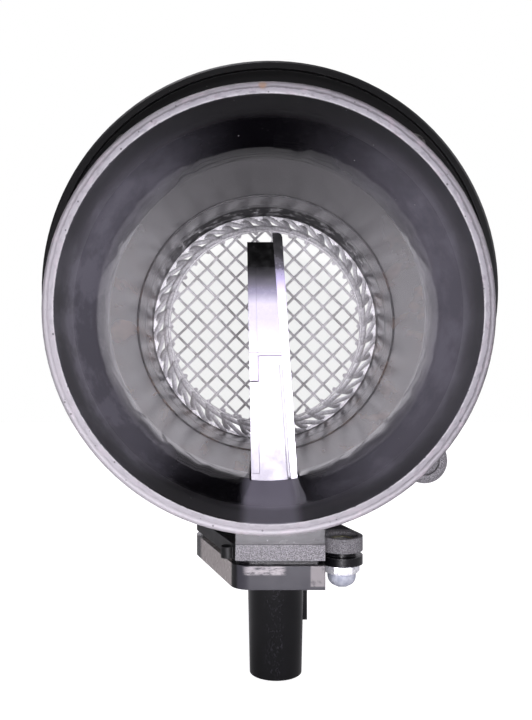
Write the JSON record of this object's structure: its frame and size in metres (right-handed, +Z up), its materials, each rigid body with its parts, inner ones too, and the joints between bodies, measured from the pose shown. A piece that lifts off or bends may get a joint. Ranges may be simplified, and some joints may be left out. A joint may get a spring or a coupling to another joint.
{
  "type": "mass airflow sensor",
  "caption": "Plug-in mass airflow sensor: ribbed black tube with a wire mesh at its inlet, an off-centre mounting flange, a flat sensing finger across the bore and a connector pointing down.",
  "frame": {"origin": "centre of the outlet spigot's open end, on the tube's axis", "axes": "+Y along the tube's axis from the outlet to the inlet, against the air's way; +Z up, away from the connector; +X to the right when looking into the outlet"},
  "size_m": [0.1302, 0.106, 0.1644],
  "materials": {
    "housing": "moulded black, worn light at the outlet rim",
    "flange_sleeves": "plated",
    "inlet_seal": "matt",
    "mesh_screen": "woven wire, slightly dull",
    "mesh_ring": "spring wire",
    "module_body": "moulded black, satin",
    "module_seal": "matt",
    "channel_body": "moulded, satin",
    "channel_cover": "moulded, satin",
    "electronics_cover": "moulded, satin",
    "base_plate": "dull sheet",
    "hybrid_board": "fired",
    "board_parts": "moulded",
    "potting_gel": "clear gel",
    "chip_carrier": "fired",
    "sensor_chip": "polished",
    "temperature_bead": "dipped",
    "temperature_leads": "tinned",
    "connector_pins": "tinned",
    "inserts": "plated, dull",
    "hex_washers": "bright plated",
    "screws": "bright plated"
  },
  "bodies": {
    "root": {"housing": "housing", "flange_sleeves": "flange_sleeves", "inlet_seal": "inlet_seal", "mesh_screen": "mesh_screen", "mesh_ring": "mesh_ring", "module_body": "module_body", "module_seal": "module_seal", "channel_body": "channel_body", "channel_cover": "channel_cover", "electronics_cover": "electronics_cover", "base_plate": "base_plate", "hybrid_board": "hybrid_board", "board_parts": "board_parts", "potting_gel": "potting_gel", "chip_carrier": "chip_carrier", "sensor_chip": "sensor_chip", "temperature_bead": "temperature_bead", "temperature_leads": "temperature_leads", "connector_pins": "connector_pins", "inserts": "inserts", "hex_washers": "hex_washers", "screws": "screws"}
  },
  "joints": []
}
